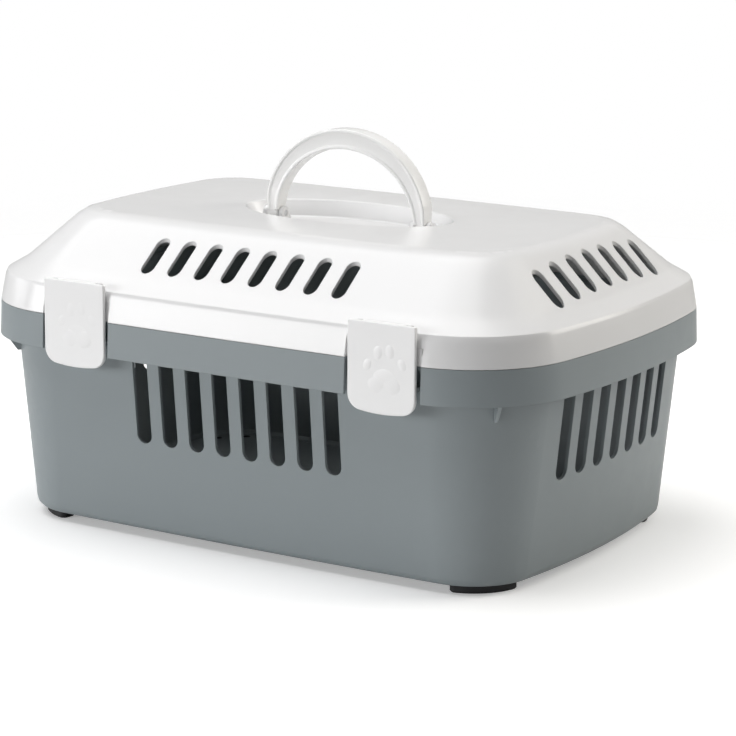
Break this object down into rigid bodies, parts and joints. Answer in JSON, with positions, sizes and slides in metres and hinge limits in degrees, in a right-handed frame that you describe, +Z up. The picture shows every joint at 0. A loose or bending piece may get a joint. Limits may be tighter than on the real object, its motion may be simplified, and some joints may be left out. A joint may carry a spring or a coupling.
{
  "type": "pet carrier",
  "caption": "Small hard-shell pet carrier: a vented tub with bowed tapering walls, a hinged vented lid, snap latches on the front and an arched carrying handle in an oval recess.",
  "frame": {"origin": "on the floor, under the middle of the carrier", "axes": "+Z up, +X along the long sides to the right, -Y the front with the latches, +Y the hinge side"},
  "size_m": [0.487, 0.3476, 0.2933],
  "materials": {
    "tub_grey": "semi-gloss moulded polypropylene, cool grey",
    "lid_white": "glossy moulded polypropylene, white",
    "latch_white": "semi-gloss moulded plastic, white",
    "handle_white": "glossy moulded plastic, slightly translucent white",
    "pin_steel": "drawn steel pin",
    "foot_rubber": "soft black rubber"
  },
  "bodies": {
    "tub": {"tub": "tub_grey", "foot_front_left": "foot_rubber", "foot_front_right": "foot_rubber", "foot_rear_left": "foot_rubber", "foot_rear_right": "foot_rubber", "hinge_pin_left": "pin_steel", "hinge_pin_right": "pin_steel"},
    "lid": {"lid": "lid_white", "latch_pin_left": "pin_steel", "latch_pin_right": "pin_steel", "handle_pin_left": "pin_steel", "handle_pin_right": "pin_steel"},
    "latch_left": {"latch_left": "latch_white"},
    "latch_right": {"latch_right": "latch_white"},
    "handle": {"handle": "handle_white"}
  },
  "joints": [
    {"name": "lid_hinge", "type": "hinge", "parent": "tub", "child": "lid", "pos_m": [0, 0.16965, 0.165], "axis": [-1, 0, 0], "range_deg": [0, 100]},
    {"name": "latch_left_hinge", "type": "hinge", "parent": "lid", "child": "latch_left", "pos_m": [-0.1255, -0.16825, 0.1892], "axis": [-1, 0, 0], "range_deg": [-2.2, 105]},
    {"name": "latch_right_hinge", "type": "hinge", "parent": "lid", "child": "latch_right", "pos_m": [0.1345, -0.16825, 0.1892], "axis": [-1, 0, 0], "range_deg": [-2.2, 105]},
    {"name": "handle_hinge", "type": "hinge", "parent": "lid", "child": "handle", "pos_m": [0, -0.00275, 0.225], "axis": [1, 0, 0], "range_deg": [-65, 65]}
  ]
}
